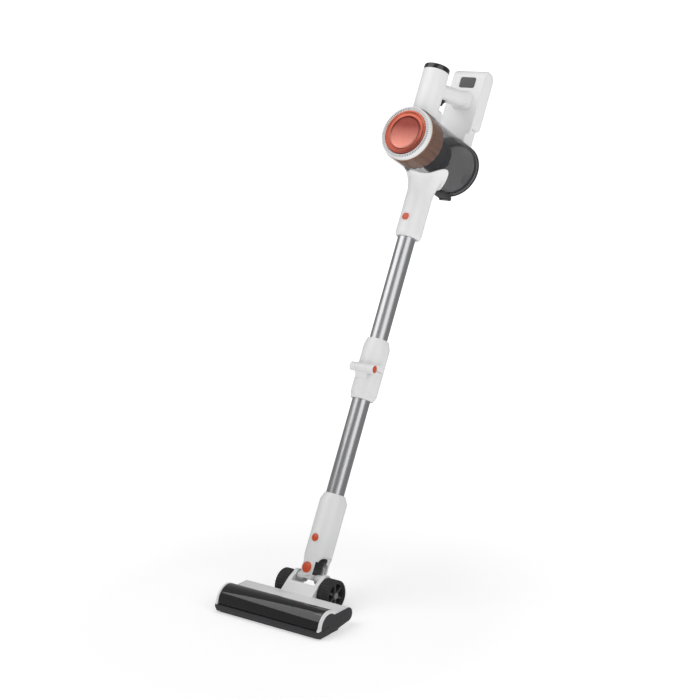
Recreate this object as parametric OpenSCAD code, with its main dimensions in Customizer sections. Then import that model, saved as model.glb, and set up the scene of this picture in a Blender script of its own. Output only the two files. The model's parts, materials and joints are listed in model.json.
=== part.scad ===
// Cordless stick vacuum: powered floor head, folding two-tube wand and handheld unit.
// Millimetres. +Z is up and the floor is z = 0. The floor head faces -Y, +X is its left-hand side.
// The origin is on the underside of the sole plate, on the head's middle plane.
// Everything above the neck's tilt axis is drawn in the wand's own frame:
// X across, Y backwards and down across the tube, Z along the tube from the tilt axis.

/* [Stance] */
// Backward lean of the wand at rest, in degrees
lean = 27.35; // [15:0.05:35]
// Distance of the tilt axis behind the origin
pivot_y = 81; // [75:0.5:90]
// Height of the tilt axis above the floor
pivot_z = 50; // [48:0.5:56]

/* [Floor head] */
// Overall width of the floor head
head_w = 240; // [200:1:290]
// Depth of each side cap across the head
cap_w = 4.5; // [3:0.25:8]
// Radius of the round nose over the brush, outside
nose_r = 30; // [29:0.25:36]
// Distance of the nose centre and brush axis in front of the origin
brush_y = 24; // [22:0.5:30]
// Height of the nose centre above the floor
nose_z = 16; // [15:0.25:18]
// Wall of the brush window
window_t = 2.4; // [1.8:0.1:3]
// Height of the white deck behind the window
deck_z = 33.5; // [31:0.25:38]
// Distance of the rear nose centre behind the origin
tail_y = 33.5; // [30:0.5:40]
// Radius of the rear nose
tail_r = 13; // [11:0.25:14]
// Wall of the head housing
shell_t = 2.4; // [1.8:0.1:3]
// Thickness of the sole plate
sole_t = 2.2; // [1.6:0.1:2.6]
// Furthest forward point of the bumper lip, in front of the origin
lip_y = 58; // [56:0.5:66]
// Width of the white rim round the side panels
rim_w = 6; // [3:0.25:9]
// Thickness of the side panels
panel_t = 1.6; // [1:0.1:2.5]

/* [Brush drive] */
// Radius over the soft bristles
bristle_r = 18.3; // [15:0.1:18.8]
// Radius of the brush core tube
brush_core_r = 12; // [9:0.25:13]
// Height of the brush axis above the floor
brush_z = 19; // [18.9:0.1:20]
// Radius of the brush stub shafts
stub_r = 4; // [3:0.25:5]
// Pitch radius of the brush pulley
brush_pulley_r = 10; // [8:0.5:11]
// Pitch radius of the motor pulley
motor_pulley_r = 6; // [5:0.5:7]
// Thickness of the drive belt
belt_t = 1.4; // [1:0.1:2]
// Radius of the brush motor
brush_motor_r = 10.5; // [8:0.25:11]
// Length of the brush motor
brush_motor_len = 50; // [35:1:65]
// Outside radius of the suction duct in the head
duct_r = 10; // [8:0.25:10]

/* [Wheels and cradle] */
// Wheel radius over the tyre
wheel_r = 29.5; // [22:0.5:36]
// Width of each wheel
wheel_w = 25; // [18:0.5:30]
// Distance of the wheel axle behind the origin
axle_y = 76.5; // [64:0.5:98]
// Radius of the wheel axles
axle_r = 4; // [3:0.25:5]
// Half width of the cradle between the wheels
cradle_half = 36; // [35.5:0.25:42]
// Thickness of each cradle ear
ear_t = 8.4; // [7:0.1:10]
// Radius of the tilt pins
tilt_pin_r = 5; // [4:0.25:6]

/* [Neck joint] */
// Distance of the swivel axis above the tilt axis
swivel_s = 17; // [16.5:0.25:19]
// Outside radius of the ribbed hose
hose_r = 16.8; // [15:0.1:17]
// Wall of the ribbed hose
hose_t = 2.2; // [1.5:0.1:3]
// Radius of the swivel pins
swivel_pin_r = 4; // [3:0.25:5]
// Radius of the coloured cap over the front swivel pin
swivel_cap_r = 10.5; // [9:0.25:11.5]
// Outside radius of both necks
neck_r = 25.5; // [25:0.25:29]
// Height of the lower neck above the tilt axis
lower_neck_top = 163; // [150:1:200]
// Height of the side arches in the lower neck
arch_top = 45; // [43:0.5:50]
// Height of the head release button above the tilt axis
head_button_s = 74.5; // [72:0.5:90]
// Radius of the two round release buttons
button_r = 7.5; // [6:0.25:9]
// Travel of the release buttons
button_travel = 2.5; // [1.5:0.1:3]

/* [Wand] */
// Outside radius of the wand tubes
tube_r = 17.5; // [16.5:0.1:17.6]
// Wall of the wand tubes
tube_t = 1.2; // [0.8:0.1:2]
// Visible length of the lower tube
lower_tube_len = 188; // [120:1:300]
// Visible length of the upper tube
upper_tube_len = 209; // [120:1:300]
// Length of the lower hinge housing
lower_fold_len = 57; // [52:1:70]
// Length of the upper hinge housing
upper_fold_len = 63; // [56:1:80]
// Outside radius of the hinge housings
fold_r = 26.2; // [25.5:0.1:30]
// Distance of the fold axis in front of the tube axis
fold_axis_h = 26.8; // [26:0.1:31]
// Radius of the fold barrel
barrel_r = 8.8; // [7.5:0.1:9.2]
// Reach of the fold barrel to the left
barrel_left = 24; // [20:0.5:32]
// Reach of the fold barrel to the right, where its button is
barrel_right = 29; // [27:0.5:33]
// Radius of the fold pin
fold_pin_r = 3; // [2:0.25:4]
// Radius of the fold button
fold_button_r = 7; // [5:0.25:7.2]

/* [Dust cup] */
// Outside radius of the dust cup
cup_r = 56; // [50:0.5:62]
// Wall of the dust cup
cup_t = 2.4; // [1.6:0.1:3]
// Distance of the cup's front edge in front of the wand axis
cup_front = 90; // [80:1:100]
// Distance of the cup's rear edge behind the wand axis
cup_rear = 90; // [86:1:110]
// Depth of the white front ring
ring_depth = 13; // [11:0.5:18]
// Radius of the coloured centre disc
disc_r = 44.5; // [36:0.5:46]
// Thickness of the cup lid
lid_t = 5.7; // [4:0.1:8]
// Distance from the upper tube's end socket to the cup
neck_run = 123; // [115:1:150]

/* [Handheld] */
// Radius of the motor housing
motor_r = 25.5; // [24:0.25:28]
// Distance of the motor axis in front of the wand axis
motor_h = 57; // [54:0.5:62]
// Height of the motor housing above the cup axis
motor_top = 144; // [130:1:170]
// Thickness of the black top cap
top_cap_t = 10.5; // [8:0.5:14]
// Half width of the hand grip
grip_half = 16; // [14:0.25:19]
// Height of the hand grip's section
grip_tall = 31; // [25:0.5:38]
// Distance of the grip's middle above the cup axis
grip_s = 136; // [120:0.5:144]
// Tilt of the hand grip, up toward the battery
grip_tilt = 13; // [6:0.5:16]
// Distance of the battery's front face behind the wand axis
slab_h = 58; // [54:0.5:64]
// Thickness of the battery bay and pack together
slab_t = 34; // [32:0.5:44]
// Half width of the battery
slab_half = 37.5; // [36:0.5:44]
// Length of the battery bay above the cup axis
slab_top = 204; // [200:1:230]
// Thickness of the bay's front plate
bay_t = 4.5; // [3:0.25:6]

/* [Hidden] */
$fn = 64;
fit = 0.05;        // radial clearance of a shaft in its bore
gap = 0.35;        // clearance between faces that pass each other
seam = 0.6;        // gap at the fold seam

white = [0.93, 0.93, 0.94];
orange = [0.80, 0.20, 0.09];
coral = [0.72, 0.20, 0.14];
dark = [0.16, 0.16, 0.17];
black = [0.05, 0.05, 0.06];
smoke = [0.25, 0.25, 0.28, 0.55];
copper = [0.55, 0.33, 0.22];
metal = [0.62, 0.62, 0.64];
steel = [0.50, 0.51, 0.53];

// Floor head
cap_x = head_w / 2 - cap_w;              // inner face of each side cap
chamber_r = nose_r - window_t;           // brush chamber
lip_top = 15;                            // top of the bumper lip
bay_front = -brush_y + chamber_r + shell_t;
floor_clear = 1.3;                       // height of the side caps above the floor
duct_z = 21;
belt_x = cap_x - 10.3;                   // outer face of the pulleys
belt_w = 6;
core_x = belt_x - belt_w + 0.6;           // ends of the brush core, against the pulley
motor_pulley_y = 24;
motor_pulley_z = 20;
cradle_in = cradle_half - ear_t;         // inner face of each ear
cradle_rear = axle_y + 17;
swing_r = 27;                            // room for the swivelled neck around the tilt axis
wheel_x = cradle_half + 0.8;             // inner face of each wheel

// Neck joint
ball_r = hose_r;
cup_ball_r = ball_r + 0.3;
ear_h = cup_ball_r + 0.2;                // inner face of the knuckle's ears
knuckle_ear_t = 3;
cheek_in = ear_h + knuckle_ear_t + 0.3;  // inner face of the neck's cheeks
neck_front = 24.5;                       // front surface of the necks
neck_off = neck_r - neck_front;          // offset of the front half of the section
neck_rear_off = neck_off + 3;            // offset of the rear half
cheek_r = 15;
knuckle_ear_r = 11;
trunnion_r = 9.6;
hose_top = 56;
tube_in_neck = 100;                      // lower tube inside the lower neck
button_face = neck_front + 0.9;

// Wand, distances along the tube from the tilt axis
fold_bottom = lower_neck_top + lower_tube_len;
seam_s = fold_bottom + lower_fold_len;
fold_top = seam_s + upper_fold_len;
neck2_bottom = fold_top + upper_tube_len;
cup_s = neck2_bottom + neck_run + cup_r;
fold_axis_s = seam_s + seam / 2;
tube_in_fold = 42;
tube_in_neck2 = 68;
wand_button_s = neck2_bottom + 36.5;
knuckle_half = 12;                       // half width of the barrel's middle knuckle
housing_off = 2.5;                       // offset of the hinge housings behind the tube axis

// Handheld, distances along the wand frame
motor_end = cup_s + motor_top;
grip_mid = cup_s + grip_s;
slab_end = cup_s + slab_top;
slab_rear = slab_h + slab_t;
slab_round = slab_t / 2;
pack_bottom = cup_s + cup_r + 25.5;
foot_half = 28;
pack_h = slab_h + bay_t + gap;           // front face of the battery pack
cell_r = 9.1;
cell_len = 65;
cell_pitch = 18.9;
socket_r = 2.75;
socket_len = 8;
window_half = 17.5;                      // battery button, half width
window_tall = 21.8;
window_s = slab_end - 30;
hinge_s = cup_s - cup_r - 5.5;           // lid hinge axis
hinge_h = cup_rear + 2;
lid_pin_r = 2;
lid_knuckle_half = 8;
trigger_half = 8;

// ---- frames and shared shapes ----

module wand_frame() translate([0, pivot_y, pivot_z]) rotate([-lean, 0, 0]) children();

// Z along the cup axis, from front (-) to rear (+)
module cup_frame() wand_frame() translate([0, 0, cup_s]) rotate([-90, 0, 0]) children();

// Extrudes a Y-Z outline across the part, from x0 to x1
module across(x0, x1) translate([x0, 0, 0]) rotate([90, 0, 90]) linear_extrude(x1 - x0) children();

// Extrudes an X-Z outline along Y, from y0 to y1
module backwards(y0, y1) translate([0, y1, 0]) rotate([90, 0, 0]) linear_extrude(y1 - y0) children();

module x_rod(r, x0, x1) translate([x0, 0, 0]) rotate([0, 90, 0]) cylinder(r = r, h = x1 - x0);

module y_rod(r, y0, y1) translate([0, y0, 0]) rotate([-90, 0, 0]) cylinder(r = r, h = y1 - y0);

module pipe(r, wall, len) difference() {
    cylinder(r = r, h = len);
    translate([0, 0, -1]) cylinder(r = r - wall, h = len + 2);
}

module slab(x0, x1, y0, y1, z0, z1) translate([x0, y0, z0]) cube([x1 - x0, y1 - y0, z1 - z0]);

// Rounded rectangle centred on the origin
module rounded(w, d, r) {
    square([w - 2 * r, d], center = true);
    square([w, d - 2 * r], center = true);
    for (i = [-1, 1], j = [-1, 1]) translate([i * (w / 2 - r), j * (d / 2 - r)]) circle(r);
}

// Slightly oval column: two round sections a little apart along Y
module oval(r, off_a, off_b, z0, z1) translate([0, 0, z0]) {
    translate([0, off_a, 0]) cylinder(r = r, h = z1 - z0);
    translate([0, off_b, 0]) cylinder(r = r, h = z1 - z0);
    slab(-r, r, off_a, off_b, 0, z1 - z0);
}

// ---- floor head outlines, in Y-Z ----

module chamber_circle(r) translate([-brush_y, nose_z]) circle(r);

// The head's full outline, from x0 to x1
module head_slice(x0, x1) difference() {
    union() {
        across(x0, x1) chamber_circle(nose_r);
        across(x0, x1) polygon([
            [-brush_y, 0], [tail_y, nose_z - 8], [tail_y, deck_z + 0.4],
            [-brush_y + 24, deck_z], [-brush_y, nose_z],
        ]);
        across(x0, x1) translate([tail_y, deck_z + 0.4 - tail_r]) circle(tail_r);
        across(x0, x1) lip_outline();
    }
    slab(x0 - 1, x1 + 1, -brush_y - 60, tail_y + 60, -nose_r, floor_clear);
}

module lip_outline() polygon([
    [-brush_y, 0], [-lip_y + 6, 0], [-lip_y + 1, 9],
    [-lip_y, lip_top], [-lip_y + 2, lip_top + 4], [-brush_y - 20, lip_top + 9],
    [-brush_y, nose_z],
]);

// Zone of the bumper lip, below the window
module lip_zone(extra) translate([-brush_y - 60, -1]) square([60, lip_top + 1 + extra]);

module window_zone() {
    translate([-brush_y - 60, lip_top + gap]) square([60 + 12, 60]);
}

module bay_outline(inset) {
    translate([tail_y, deck_z + 0.4 - tail_r]) circle(tail_r - inset);
    polygon([
        [bay_front, nose_z - 8.5], [tail_y, nose_z - 8 + inset],
        [tail_y, deck_z - inset], [bay_front, deck_z - inset],
    ]);
}

// ---- floor head ----

module cradle_outline() {
    polygon([
        [14, nose_z - 8], [14, deck_z], [34, deck_z + 1], [pivot_y - 33, pivot_z - 5],
        [pivot_y - 22, pivot_z + 3], [pivot_y, pivot_z + 12.5], [pivot_y + 14, pivot_z + 2],
        [cradle_rear, pivot_z - 20], [cradle_rear, 16], [cradle_rear - 8, nose_z - 8],
    ]);
    translate([pivot_y, pivot_z]) circle(12.5);
}

module cradle_room() {
    translate([pivot_y, pivot_z]) circle(swing_r);
    translate([pivot_y, 19]) square([60, 80]);
    // the neck's front end, when it stands upright
    translate([pivot_y - neck_front - 2.5, pivot_z + 0.8]) square([60, 50]);
    translate([pivot_y - 20, nose_z - 4]) square([cradle_rear - pivot_y + 17, 20]);
    polygon([
        [14 - shell_t, nose_z - 4], [14 - shell_t, deck_z - shell_t], [33, deck_z - shell_t + 1],
        [pivot_y - 32, pivot_z - 8.5], [pivot_y, pivot_z], [pivot_y, nose_z - 4],
    ]);
}

module head_housing() color(white) difference() {
    union() {
        head_slice(-cap_x + gap, cap_x - gap);
        across(-cradle_half, cradle_half) cradle_outline();
    }
    across(-cap_x, cap_x) {
        chamber_circle(chamber_r);
        window_zone();
        lip_outline();
        lip_zone(1);
    }
    across(-cap_x + gap + shell_t, cap_x - gap - shell_t) bay_outline(shell_t);
    across(-cradle_in, cradle_in) cradle_room();
    // room for the sole plate, the duct, the belt and the pins
    slab(-cap_x, cap_x, -brush_y - 40, 14, -1, sole_t + fit);
    translate([0, 0, duct_z]) y_rod(duct_r + fit, -brush_y, pivot_y - 24);
    translate([0, pivot_y - 24, duct_z]) sphere(duct_r + fit);
    slab(-belt_x - 0.6, -belt_x + belt_w + 0.6, -brush_y, tail_y, 7.5, deck_z - shell_t);
    translate([0, pivot_y, pivot_z]) x_rod(tilt_pin_r, -cradle_half - 1, cradle_half + 1);
    translate([0, axle_y, wheel_r]) x_rod(axle_r, -cradle_half - 1, cradle_half + 1);
    for (x = screw_xs) translate([x, screw_y, 0]) cylinder(r = screw_r, h = nose_z - 8 + shell_t);
}

screw_xs = [-95, -50, 50, 95];
screw_y = 9;
screw_r = 1.4;
screw_head_r = 3;

module sole_plate() color(dark) difference() {
    translate([0, -20, 0]) linear_extrude(sole_t) rounded(2 * cap_x - 2 * gap, 64, 4);
    // suction mouth
    translate([0, -brush_y, -1]) linear_extrude(sole_t + 2) rounded(2 * cap_x - 22, 42, 5);
    for (x = screw_xs) translate([x, screw_y, 0]) {
        translate([0, 0, -1]) cylinder(r = screw_r, h = 10);
        translate([0, 0, -1]) cylinder(r = screw_head_r + fit, h = 1 + 1.5);
    }
}

module head_screws() color(steel) for (x = screw_xs) translate([x, screw_y, 0.3]) {
    cylinder(r = screw_head_r, h = 1.2);
    cylinder(r = screw_r, h = nose_z - 8 + shell_t - 0.5);
}

module brush_window() color(smoke) across(-cap_x + gap, cap_x - gap) intersection() {
    difference() {
        chamber_circle(nose_r);
        chamber_circle(chamber_r);
    }
    translate([-brush_y - 60, lip_top + gap]) square([60 + 12 - gap, 60]);
}

module front_bumper() color(dark) {
    across(-cap_x, cap_x) difference() {
        intersection() {
            lip_outline();
            translate([-100, sole_t + fit]) square([100, lip_top - sole_t]);
        }
        chamber_circle(chamber_r);
    }
    // ends of the lip, below the white rims
    for (side = [-1, 1]) across(side > 0 ? cap_x : -head_w / 2, side > 0 ? head_w / 2 : -cap_x)
        intersection() {
            lip_outline();
            translate([-100, floor_clear]) square([100, lip_top - floor_clear]);
        }
}

module side_cap(side) color(white) difference() {
    head_slice(side > 0 ? cap_x : -cap_x - cap_w, side > 0 ? cap_x + cap_w : -cap_x);
    across(-head_w, head_w) lip_zone(gap);
    across(side > 0 ? head_w / 2 - panel_t : -head_w, side > 0 ? head_w : -head_w / 2 + panel_t)
        panel_outline(0);
}

module left_side_cap() side_cap(-1);

module right_side_cap() side_cap(1);

// Area of the dark panel, which leaves a white rim along the nose
module panel_outline(inset) difference() {
    union() {
        chamber_circle(nose_r - rim_w - inset);
        translate([-brush_y, -10]) square([tail_y + brush_y + 30, deck_z + 11]);
    }
    lip_zone(gap + inset);
}

module side_panels() color(dark) for (side = [-1, 1]) intersection() {
    head_slice(side > 0 ? head_w / 2 - panel_t : -head_w / 2 + 0.3,
               side > 0 ? head_w / 2 - 0.3 : -head_w / 2 + panel_t);
    across(-head_w, head_w) panel_outline(fit);
}

module brush_bearings() color(steel) for (side = [-1, 1]) mirror([side < 0 ? 1 : 0, 0, 0])
    translate([cap_x - 3.4, -brush_y, brush_z]) rotate([0, 90, 0]) difference() {
        cylinder(r = stub_r + 5, h = 3.4);
        translate([0, 0, -1]) cylinder(r = stub_r + fit, h = 6);
    }

module brush_core() color([0.30, 0.30, 0.32]) translate([0, -brush_y, brush_z]) {
    x_rod(brush_core_r, -core_x, core_x);
    x_rod(stub_r, -cap_x + 0.4, cap_x - 0.4);
}

module brush_bristles() color([0.13, 0.13, 0.14]) translate([0, -brush_y, brush_z]) difference() {
    x_rod(bristle_r, -core_x + 1, core_x - 1);
    x_rod(brush_core_r, -cap_x, cap_x);
}

module brush_pulley() color(dark) translate([0, -brush_y, brush_z]) difference() {
    x_rod(brush_pulley_r - belt_t / 2 - gap, -belt_x, -belt_x + belt_w - 0.6);
    x_rod(stub_r, -cap_x, cap_x);
}

module motor_pulley() color(dark) translate([0, motor_pulley_y, motor_pulley_z]) {
    x_rod(motor_pulley_r - belt_t / 2 - gap, -belt_x, -belt_x + belt_w - 0.6);
    x_rod(2, -belt_x, -belt_x + belt_w + brush_motor_len / 2);
}

module brush_motor() color(steel) translate([0, motor_pulley_y, motor_pulley_z]) difference() {
    x_rod(brush_motor_r, -belt_x + belt_w + 1.2, -belt_x + belt_w + brush_motor_len);
    x_rod(2 + fit, -belt_x, -belt_x + belt_w + brush_motor_len / 2 + 1);
}

// Flat loop round both pulleys
module belt_loop(extra) hull() {
    translate([-brush_y, brush_z]) circle(brush_pulley_r + extra, $fn = 32);
    translate([motor_pulley_y, motor_pulley_z]) circle(motor_pulley_r + extra, $fn = 32);
}

module drive_belt() color(black) across(-belt_x + 0.3, -belt_x + belt_w - 0.9) difference() {
    belt_loop(belt_t / 2);
    belt_loop(-belt_t / 2);
}

module suction_duct() color(dark) difference() {
    union() {
        translate([0, 0, duct_z]) y_rod(duct_r, -brush_y + chamber_r + 0.2, pivot_y - 24);
        translate([0, pivot_y - 24, duct_z]) sphere(duct_r);
    }
    translate([0, 0, duct_z]) y_rod(duct_r - 1.5, -brush_y, pivot_y - 24);
    translate([0, pivot_y - 24, duct_z]) sphere(duct_r - 1.5);
    translate([0, pivot_y - 24, duct_z]) rotate([-lean - 30, 0, 0]) cylinder(r = duct_r - 3, h = 30);
}

module wheel_axles() color(steel) for (side = [-1, 1]) mirror([side < 0 ? 1 : 0, 0, 0])
    translate([0, axle_y, wheel_r]) {
        x_rod(axle_r, cradle_in + 0.5, wheel_x + wheel_w - 1);
        x_rod(axle_r + 2, wheel_x + wheel_w - 2.5, wheel_x + wheel_w - 0.8);
    }

module tilt_pins() color(steel) for (side = [-1, 1]) mirror([side < 0 ? 1 : 0, 0, 0])
    translate([0, pivot_y, pivot_z]) x_rod(tilt_pin_r, cradle_in - 10, cradle_half - 0.5);

module wheel_tyre() translate([0, axle_y, wheel_r]) rotate([0, 90, 0])
    rotate_extrude() difference() {
        translate([wheel_r - 5, 0]) union() {
            translate([0, 1.5]) square([5, wheel_w - 3]);
            square([3.5, wheel_w]);
            for (z = [1.5, wheel_w - 1.5]) translate([3.5, z]) circle(1.5);
        }
        for (i = [1:4]) translate([wheel_r, i * wheel_w / 5]) circle(0.6, $fn = 16);
    }

module wheel_hub() translate([0, axle_y, wheel_r]) difference() {
    union() {
        x_rod(axle_r + 4, 1.5, wheel_w - 3);
        translate([1.5, 0, 0]) rotate([0, 90, 0]) pipe(wheel_r - 5, 2, wheel_w - 3);
        for (a = [0:60:300]) rotate([a, 0, 0])
            slab(wheel_w - 10, wheel_w - 3, -2.2, 2.2, axle_r + 2, wheel_r - 6);
        x_rod(wheel_r - 6, wheel_w / 2 - 1.5, wheel_w / 2 + 1.5);
    }
    x_rod(axle_r + fit, -1, wheel_w + 1);
    x_rod(axle_r + 2.3, wheel_w - 2.8, wheel_w + 1);
}

module left_wheel_tyre() color(black) mirror([1, 0, 0]) translate([wheel_x, 0, 0]) wheel_tyre();

module left_wheel_hub() color(dark) mirror([1, 0, 0]) translate([wheel_x, 0, 0]) wheel_hub();

module right_wheel_tyre() color(black) translate([wheel_x, 0, 0]) wheel_tyre();

module right_wheel_hub() color(dark) translate([wheel_x, 0, 0]) wheel_hub();

// ---- neck joint ----

module tilt_knuckle() color(white) wand_frame() difference() {
    union() {
        intersection() {
            translate([0, 0, swivel_s]) sphere(cup_ball_r + 3.2);
            slab(-40, 40, -40, 40, -40, swivel_s - 11);
        }
        for (side = [-1, 1]) {
            x_rod(trunnion_r, side > 0 ? 13 : -cradle_in + gap, side > 0 ? cradle_in - gap : -13);
            // ears that hold the swivel pins
            y0 = side > 0 ? ear_h : -ear_h - knuckle_ear_t;
            translate([0, 0, swivel_s]) y_rod(knuckle_ear_r, y0, y0 + knuckle_ear_t);
            slab(-knuckle_ear_r, knuckle_ear_r, y0, y0 + knuckle_ear_t, -3, swivel_s);
        }
        // web between the ears and the cup
        slab(-knuckle_ear_r, knuckle_ear_r, -ear_h - 1, ear_h + 1, -3, swivel_s - 11);
    }
    translate([0, 0, swivel_s]) sphere(cup_ball_r);
    translate([0, 0, -20]) cylinder(r = hose_r - hose_t - 2, h = 30);
    x_rod(tilt_pin_r + fit, -cradle_in, cradle_in);
    translate([0, 0, swivel_s]) y_rod(swivel_pin_r, -40, 40);
}

module swivel_pins() color(steel) wand_frame() translate([0, 0, swivel_s]) for (side = [-1, 1])
    y_rod(swivel_pin_r, side > 0 ? ear_h : -cheek_in - 1.8, side > 0 ? cheek_in + 4 : -ear_h);

module neck_mouth(z0, z1, r1) hull() {
    oval(neck_r, neck_off, neck_rear_off, z0, z0 + 0.1, $fn = 48);
    translate([0, neck_off / 2, z1 - 0.1]) cylinder(r = r1, h = 0.1, $fn = 48);
}

module button_hole(s) translate([0, 0, s]) y_rod(button_r + 0.1, -60, -tube_r + 1);

module button_collar(s) translate([0, 0, s]) y_rod(button_r + 2, -neck_front - 0.2, -tube_r - 1);

module lower_neck() color(white) wand_frame() difference() {
    union() {
        oval(neck_r, neck_off, neck_rear_off, swivel_s - cheek_r, lower_neck_top - 13);
        neck_mouth(lower_neck_top - 13, lower_neck_top, tube_r + 2.6);
        button_collar(head_button_s);
    }
    // open sides, leaving a cheek in front and behind
    for (side = [-1, 1]) backwards(-60, 60) {
        translate([side * (cheek_r + 16), arch_top - 16]) circle(16);
        translate([side * (cheek_r + 16) - 16, -60]) square([32, arch_top - 16 + 60]);
    }
    backwards(-60, 60) difference() {
        translate([-cheek_r - 1, -40]) square([2 * cheek_r + 2, 40 + swivel_s]);
        translate([0, swivel_s]) circle(cheek_r);
    }
    // room for the knuckle and the hose
    intersection() {
        translate([0, 0, -30]) cylinder(r = 60, h = 30 + hose_top);
        slab(-60, 60, -cheek_in, cheek_in, -30, hose_top);
        union() {
            translate([0, 0, -30]) cylinder(r = cheek_in, h = 30 + hose_top);
            slab(-60, 60, -cheek_in, cheek_in, -30, swivel_s + 14);
        }
    }
    cylinder(r = tube_r + fit, h = lower_neck_top + 1);
    translate([0, 0, swivel_s]) y_rod(swivel_pin_r + fit, -cheek_in - 2, 60);
    translate([0, 0, swivel_s]) y_rod(swivel_cap_r, -60, -cheek_in - 2);
    button_hole(head_button_s);
}

module swivel_cap() color(orange) wand_frame() translate([0, 0, swivel_s])
    y_rod(swivel_cap_r - fit, -button_face, -cheek_in - 2);

module neck_hose() color(black) wand_frame() difference() {
    union() {
        translate([0, 0, swivel_s]) sphere(ball_r - 1);
        translate([0, 0, swivel_s]) cylinder(r = hose_r - 1, h = hose_top - swivel_s);
        for (i = [0:5]) translate([0, 0, swivel_s + 6.2 + i * 6]) rotate_extrude()
            translate([hose_r - 1.4, 0]) circle(1.4, $fn = 24);
    }
    translate([0, 0, -1]) cylinder(r = hose_r - hose_t - 1.4, h = hose_top + 2);
}

// Round push button with a flange behind the wall
module round_button(s) wand_frame() translate([0, 0, s])
    y_rod(button_r, -button_face, -tube_r - button_travel - 0.4);

module head_button() color(orange) round_button(head_button_s);

// ---- wand ----

module lower_tube() color(metal) wand_frame()
    translate([0, 0, lower_neck_top - tube_in_neck])
        pipe(tube_r, tube_t, tube_in_neck + lower_tube_len + tube_in_fold);

module upper_tube() color(metal) wand_frame()
    translate([0, 0, fold_top - tube_in_fold + 2])
        pipe(tube_r, tube_t, tube_in_fold - 2 + upper_tube_len + tube_in_neck2);

module fold_axis() translate([0, -fold_axis_h, fold_axis_s]) children();

module lower_hinge_housing() color(white) wand_frame() difference() {
    union() {
        hull() {
            translate([0, 1, fold_bottom]) cylinder(r = fold_r - 4, h = 0.1, $fn = 48);
            translate([0, housing_off, fold_bottom + 12]) cylinder(r = fold_r, h = 0.1, $fn = 48);
        }
        translate([0, housing_off, fold_bottom + 12]) cylinder(r = fold_r, h = lower_fold_len - 12);
        fold_axis() x_rod(barrel_r, -knuckle_half, knuckle_half);
        // web below the middle knuckle
        fold_axis() across(-knuckle_half, knuckle_half) polygon([
            [16, -22], [3, -20], [-3, -barrel_r - 1], [-4, -6], [16, -6],
        ]);
    }
    translate([0, 0, fold_bottom - 1]) cylinder(r = tube_r + fit, h = tube_in_fold + 1);
    translate([0, 0, fold_bottom]) cylinder(r = tube_r - 1.5, h = lower_fold_len + 1);
    translate([0, 0, seam_s - 2]) pipe(tube_r + 4, 4.4, 3);
    // room for the outer knuckles
    for (side = [-1, 1]) fold_axis()
        x_rod(barrel_r + 0.5, side > 0 ? knuckle_half : -60, side > 0 ? 60 : -knuckle_half);
    fold_axis() x_rod(fold_pin_r + fit, -60, 60);
}

module upper_hinge_housing() color(white) wand_frame() difference() {
    union() {
        difference() {
            translate([0, housing_off, seam_s + seam]) cylinder(r = fold_r, h = upper_fold_len - seam - 14);
            // room for the middle knuckle
            fold_axis() x_rod(barrel_r + 0.5, -knuckle_half - gap, knuckle_half + gap);
        }
        hull() {
            translate([0, housing_off, fold_top - 14]) cylinder(r = fold_r, h = 0.1, $fn = 48);
            translate([0, 1, fold_top - 0.1]) cylinder(r = tube_r + 4, h = 0.1, $fn = 48);
        }
        for (side = [-1, 1]) {
            x0 = side > 0 ? knuckle_half + gap : -barrel_left;
            x1 = side > 0 ? barrel_right : -knuckle_half - gap;
            fold_axis() x_rod(barrel_r, x0, x1);
            // shoulder from the knuckle to the housing
            fold_axis() across(x0, x1) polygon([
                [0, seam / 2], [0, barrel_r], [4, barrel_r + 0.6], [24, barrel_r + 6], [24, seam / 2],
            ]);
        }
    }
    translate([0, 0, fold_top - tube_in_fold + 2]) cylinder(r = tube_r + fit, h = tube_in_fold);
    translate([0, 0, seam_s]) cylinder(r = tube_r - 1.5, h = upper_fold_len);
    fold_axis() x_rod(fold_pin_r + fit, -60, 60);
    fold_axis() x_rod(fold_button_r + 0.1, barrel_right - 7.5, 60);
}

module fold_pin() color(steel) wand_frame() fold_axis()
    x_rod(fold_pin_r, -barrel_left + 1, barrel_right - 8);

module fold_seal() color(black) wand_frame() translate([0, 0, seam_s - 2])
    pipe(tube_r + 3.9, 4.2, 2 + seam - 0.25);

module fold_button() color(orange) wand_frame() fold_axis()
    x_rod(fold_button_r, barrel_right - 4, barrel_right + 0.8);

// ---- handheld: neck, cup and cyclone ----

// Side outline of the saddle wings that hold the cup, in Y-Z of the wand frame
module wing_outline() {
    polygon([
        [-34, cup_s - 70], [-25, cup_s - cup_r + 2], [-17, cup_s - cup_r * 0.74],
        [10, cup_s - cup_r * 0.62], [20, cup_s - cup_r * 0.7], [44, cup_s - cup_r + 3],
        [56, cup_s - cup_r - 1], [56, cup_s - 70],
    ]);
    translate([-2, cup_s - cup_r * 0.77]) circle(12);
}

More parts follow.
